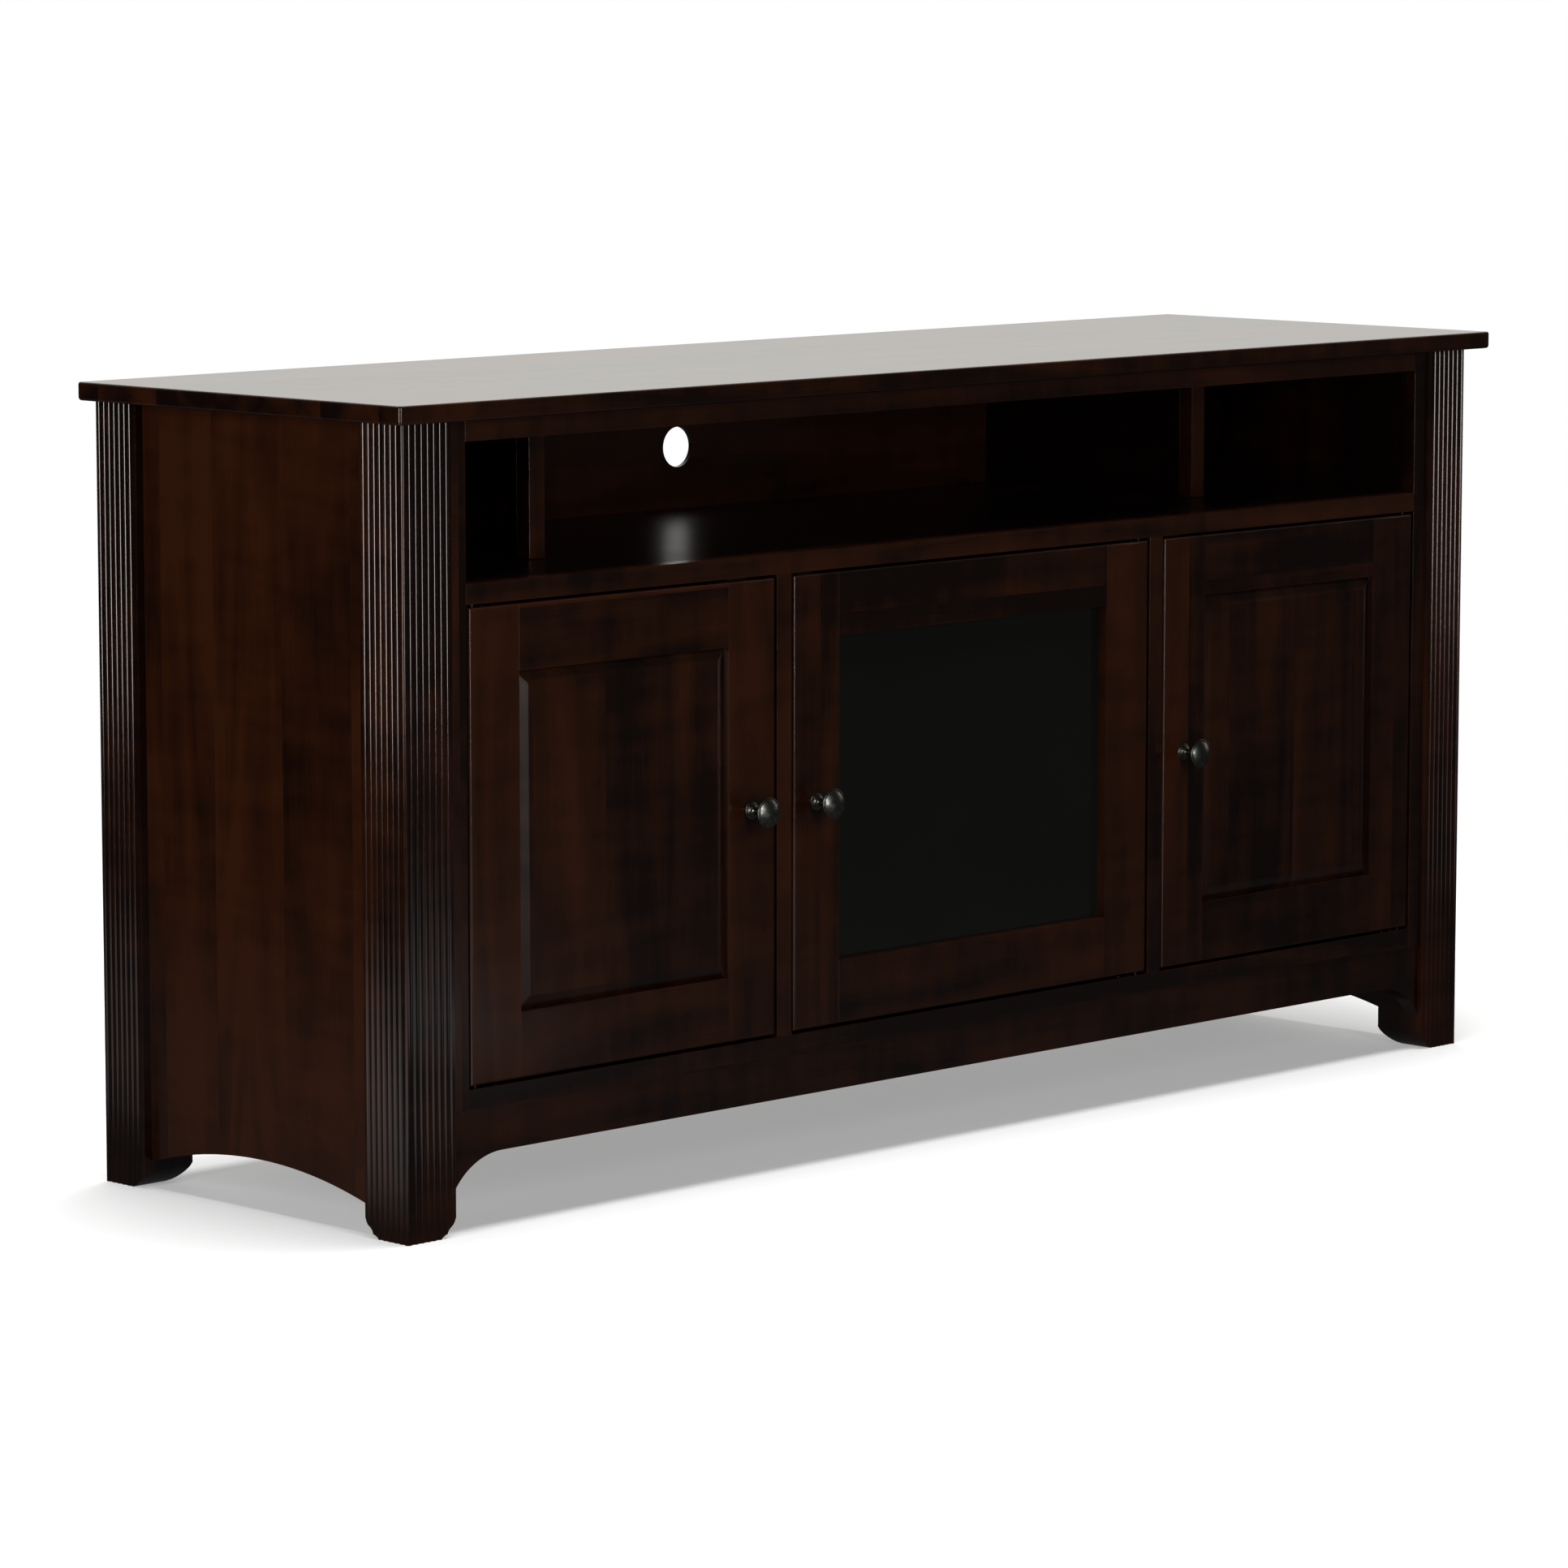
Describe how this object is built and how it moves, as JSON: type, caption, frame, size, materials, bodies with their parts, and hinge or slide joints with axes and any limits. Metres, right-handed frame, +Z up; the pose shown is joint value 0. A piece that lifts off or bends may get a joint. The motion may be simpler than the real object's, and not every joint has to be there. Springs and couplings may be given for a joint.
{
  "type": "television console cabinet",
  "caption": "Low dark wooden media console with reeded corner posts, an open divided shelf bay above, raised-panel outer doors and a smoked-glass middle door.",
  "frame": {"origin": "floor level, at the middle of the object's box: halfway across, and halfway between the knobs' fronts and the back edge of the top", "axes": "+Z up; the doors face -Y; +X to the right of someone who faces the doors"},
  "size_m": [1.666, 0.498, 0.826],
  "materials": {
    "stained_wood": "dark stained hardwood, satin lacquer",
    "inner_boards": "dark stained hardwood, gloss lacquer",
    "back_board": "dark stained veneered board",
    "smoked_glass": "dark smoked glass",
    "aged_pewter": "antique pewter plating",
    "zinc_plated_steel": "zinc plated",
    "hinge_steel": "oil-blackened steel",
    "catch_housing": "moulded brown plastic"
  },
  "bodies": {
    "cabinet": {"top_panel": "stained_wood", "front_left_post": "stained_wood", "front_right_post": "stained_wood", "rear_left_post": "stained_wood", "rear_right_post": "stained_wood", "left_side_panel": "stained_wood", "right_side_panel": "stained_wood", "left_inner_side": "inner_boards", "right_inner_side": "inner_boards", "left_frame_stile": "stained_wood", "right_frame_stile": "stained_wood", "frame_top_rail": "stained_wood", "frame_middle_rail": "stained_wood", "frame_bottom_rail": "stained_wood", "left_mullion": "stained_wood", "right_mullion": "stained_wood", "front_apron": "stained_wood", "cabinet_floor": "inner_boards", "fixed_shelf": "inner_boards", "left_bay_divider": "inner_boards", "right_bay_divider": "inner_boards", "left_divider_nosing": "stained_wood", "right_divider_nosing": "stained_wood", "left_partition": "inner_boards", "right_partition": "inner_boards", "back_panel": "back_board", "left_shelf": "inner_boards", "centre_shelf": "inner_boards", "right_shelf": "inner_boards", "shelf_pins": "zinc_plated_steel", "magnetic_catches": "catch_housing", "hinge_frame_plates": "hinge_steel"},
    "left_door": {"left_door_hinge_stile": "stained_wood", "left_door_knob_stile": "stained_wood", "left_door_top_rail": "stained_wood", "left_door_bottom_rail": "stained_wood", "left_door_panel": "stained_wood", "left_door_knob": "aged_pewter", "left_door_knob_screw": "zinc_plated_steel", "left_door_hinge_plates": "hinge_steel", "left_door_strike": "zinc_plated_steel"},
    "centre_door": {"centre_door_hinge_stile": "stained_wood", "centre_door_knob_stile": "stained_wood", "centre_door_top_rail": "stained_wood", "centre_door_bottom_rail": "stained_wood", "centre_door_glass": "smoked_glass", "centre_door_beads": "stained_wood", "centre_door_knob": "aged_pewter", "centre_door_knob_screw": "zinc_plated_steel", "centre_door_hinge_plates": "hinge_steel", "centre_door_strike": "zinc_plated_steel"},
    "right_door": {"right_door_hinge_stile": "stained_wood", "right_door_knob_stile": "stained_wood", "right_door_top_rail": "stained_wood", "right_door_bottom_rail": "stained_wood", "right_door_panel": "stained_wood", "right_door_knob": "aged_pewter", "right_door_knob_screw": "zinc_plated_steel", "right_door_hinge_plates": "hinge_steel", "right_door_strike": "zinc_plated_steel"}
  },
  "joints": [
    {"name": "left_door_hinge", "type": "hinge", "parent": "cabinet", "child": "left_door", "pos_m": [-0.7155, -0.2125, 0.3845], "axis": [0, 0, -1], "range_deg": [0, 110]},
    {"name": "centre_door_hinge", "type": "hinge", "parent": "cabinet", "child": "centre_door", "pos_m": [0.2645, -0.2125, 0.3845], "axis": [0, 0, 1], "range_deg": [0, 105]},
    {"name": "right_door_hinge", "type": "hinge", "parent": "cabinet", "child": "right_door", "pos_m": [0.7155, -0.2125, 0.3845], "axis": [0, 0, 1], "range_deg": [0, 110]}
  ]
}
